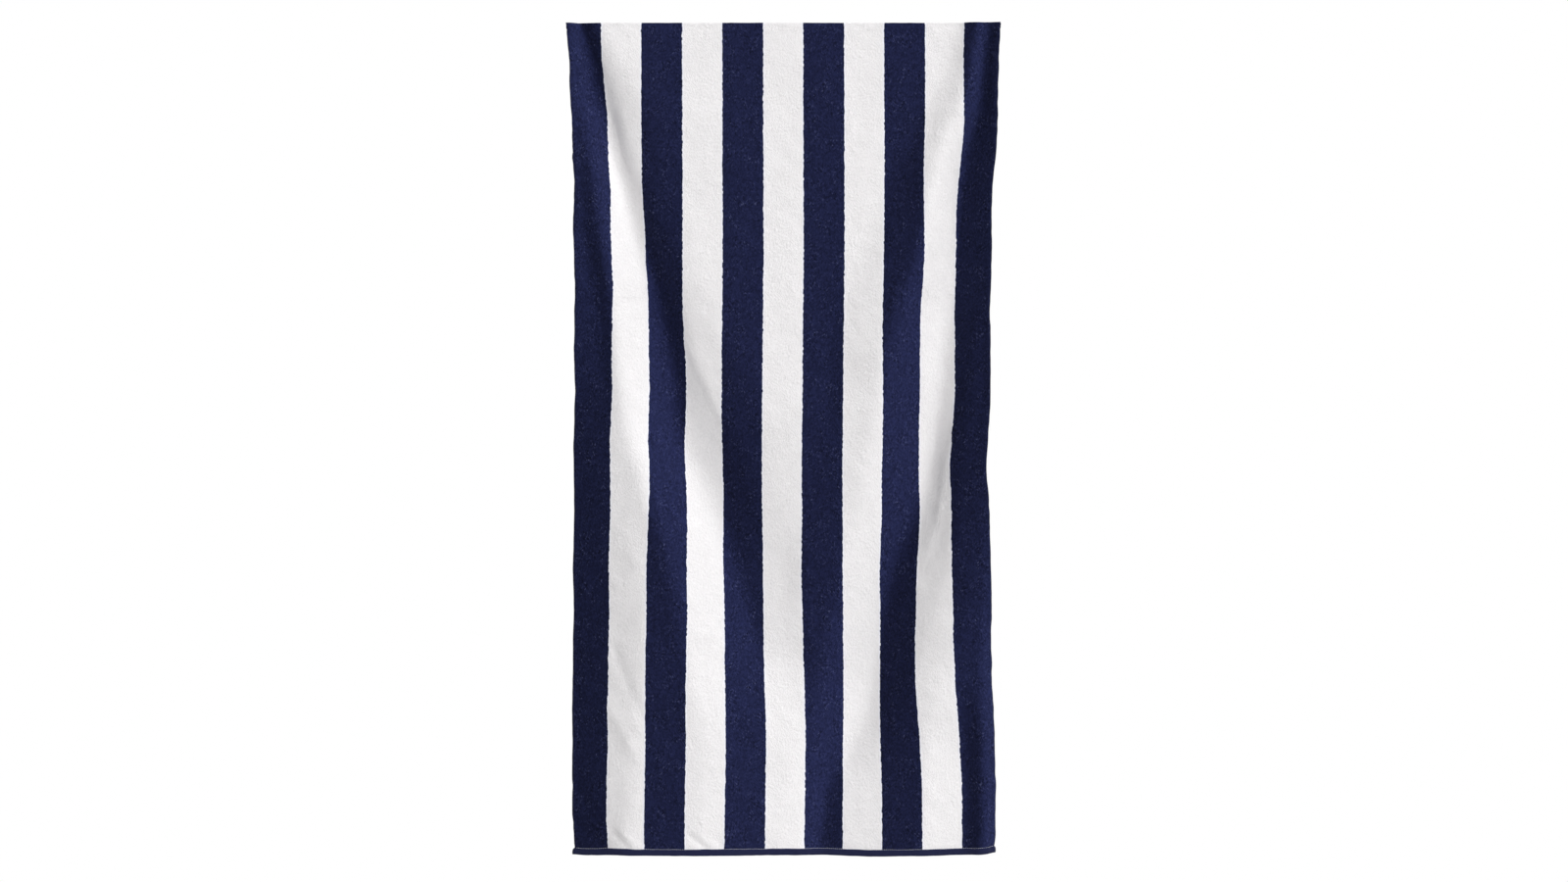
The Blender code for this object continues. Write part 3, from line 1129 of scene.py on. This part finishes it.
hem_thread, tree, shader = new_finish(
    "hem thread", roughness=0.7, sheen=0.1, sheen_roughness=0.4, gloss=0.3)
coordinates = put(tree, "ShaderNodeTexCoord").outputs["Object"]
twist = noise(tree, vector(tree, "MULTIPLY", coordinates, TWIST_BLOBS), detail=1.0)
thread_colour = shaded(tree, THREAD_COLOUR, twist, least=0.7, most=1.2)
feed(tree, shader.inputs["Base Color"], thread_colour)
print("thread ready")

# %% Build the tree that sews
lockstitch = bpy.data.node_groups.new("lockstitch", "GeometryNodeTree")
lockstitch.interface.new_socket(name="Seam", in_out="INPUT", socket_type="NodeSocketGeometry")
lockstitch.interface.new_socket(name="Stitches", in_out="OUTPUT", socket_type="NodeSocketGeometry")
sockets = []
for name, kind, value in (
    ("Stitch Pitch", "NodeSocketFloat", 0.0036),
    ("Stitch Length", "NodeSocketFloat", 0.0028),
    ("Thread Thickness", "NodeSocketFloat", 0.0007),
    ("Waver", "NodeSocketFloat", 0.12),
    ("Seed", "NodeSocketInt", 5),
    ("Thread", "NodeSocketMaterial", hem_thread),
):
    socket = lockstitch.interface.new_socket(name=name, in_out="INPUT", socket_type=kind)
    sockets.append((socket, value))

given = put(lockstitch, "NodeGroupInput").outputs
line = put(lockstitch, "GeometryNodeMeshToCurve")
feed(lockstitch, line.inputs["Mesh"], given["Seam"])
spaced = put(lockstitch, "GeometryNodeResampleCurve", mode="LENGTH")
feed(lockstitch, spaced.inputs["Curve"], line.outputs["Curve"])
feed(lockstitch, spaced.inputs["Length"], given["Stitch Pitch"])

bead = put(lockstitch, "GeometryNodeMeshUVSphere")
feed(lockstitch, bead.inputs["Segments"], 6)
feed(lockstitch, bead.inputs["Rings"], 5)
feed(lockstitch, bead.inputs["Radius"], 0.5)
stitch_size = put(lockstitch, "ShaderNodeCombineXYZ")
feed(lockstitch, stitch_size.inputs["X"], given["Stitch Length"])
feed(lockstitch, stitch_size.inputs["Y"], given["Thread Thickness"])
feed(lockstitch, stitch_size.inputs["Z"], given["Thread Thickness"])
stitch = put(lockstitch, "GeometryNodeTransform")
feed(lockstitch, stitch.inputs["Geometry"], bead.outputs["Mesh"])
feed(lockstitch, stitch.inputs["Scale"], stitch_size.outputs[0])

normal = put(lockstitch, "GeometryNodeInputNamedAttribute", data_type="FLOAT_VECTOR")
feed(lockstitch, normal.inputs["Name"], "outward")
along = put(lockstitch, "FunctionNodeAlignRotationToVector", axis="X")
feed(lockstitch, along.inputs["Vector"], put(lockstitch, "GeometryNodeInputTangent").outputs[0])
upright = put(lockstitch, "FunctionNodeAlignRotationToVector", axis="Z", pivot_axis="X")
feed(lockstitch, upright.inputs["Rotation"], along.outputs[0])
feed(lockstitch, upright.inputs["Vector"], normal.outputs["Attribute"])
waver = put(lockstitch, "FunctionNodeRandomValue", data_type="FLOAT")
feed(lockstitch, waver.inputs["Min"], calculate(lockstitch, "MULTIPLY", given["Waver"], -1.0))
feed(lockstitch, waver.inputs["Max"], given["Waver"])
feed(lockstitch, waver.inputs["Seed"], given["Seed"])
slant = put(lockstitch, "ShaderNodeCombineXYZ")
feed(lockstitch, slant.inputs["Z"], waver.outputs["Value"])
slanted = put(lockstitch, "FunctionNodeRotateRotation", rotation_space="LOCAL")
feed(lockstitch, slanted.inputs["Rotation"], upright.outputs[0])
feed(lockstitch, slanted.inputs["Rotate By"], slant.outputs[0])

sewn = put(lockstitch, "GeometryNodeInstanceOnPoints")
feed(lockstitch, sewn.inputs["Points"], spaced.outputs["Curve"])
feed(lockstitch, sewn.inputs["Instance"], stitch.outputs["Geometry"])
feed(lockstitch, sewn.inputs["Rotation"], slanted.outputs[0])
real = put(lockstitch, "GeometryNodeRealizeInstances")
feed(lockstitch, real.inputs["Geometry"], sewn.outputs["Instances"])
threaded = put(lockstitch, "GeometryNodeSetMaterial")
feed(lockstitch, threaded.inputs["Geometry"], real.outputs["Geometry"])
feed(lockstitch, threaded.inputs["Material"], given["Thread"])
result = put(lockstitch, "NodeGroupOutput").inputs
feed(lockstitch, result["Stitches"], threaded.outputs["Geometry"])
print("sewing tree ready")

# %% Sew both hems
sewing = seam.modifiers.new("sewing", "NODES")
sewing.node_group = lockstitch
for socket, value in sockets:
    sewing[socket.identifier] = value
sewn_seam = seam.evaluated_get(bpy.context.evaluated_depsgraph_get())
stitch_mesh = bpy.data.meshes.new_from_object(sewn_seam)
stitch_mesh.name = "hem_stitches"
stitch_mesh.shade_smooth()
stitches = bpy.data.objects.new("hem_stitches", stitch_mesh)
bpy.context.scene.collection.objects.link(stitches)
bpy.data.objects.remove(seam)
print(len(stitch_mesh.polygons), "faces in the stitches")

# %% [markdown]
# ## Join the towel to the frame
# The cloth takes the place of the plain solid, the stitches go with it, and both hang on
# the towel's one body.

for piece in (cloth, stitches):
    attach(piece, "root")
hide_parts("towel")
print("pieces declared")
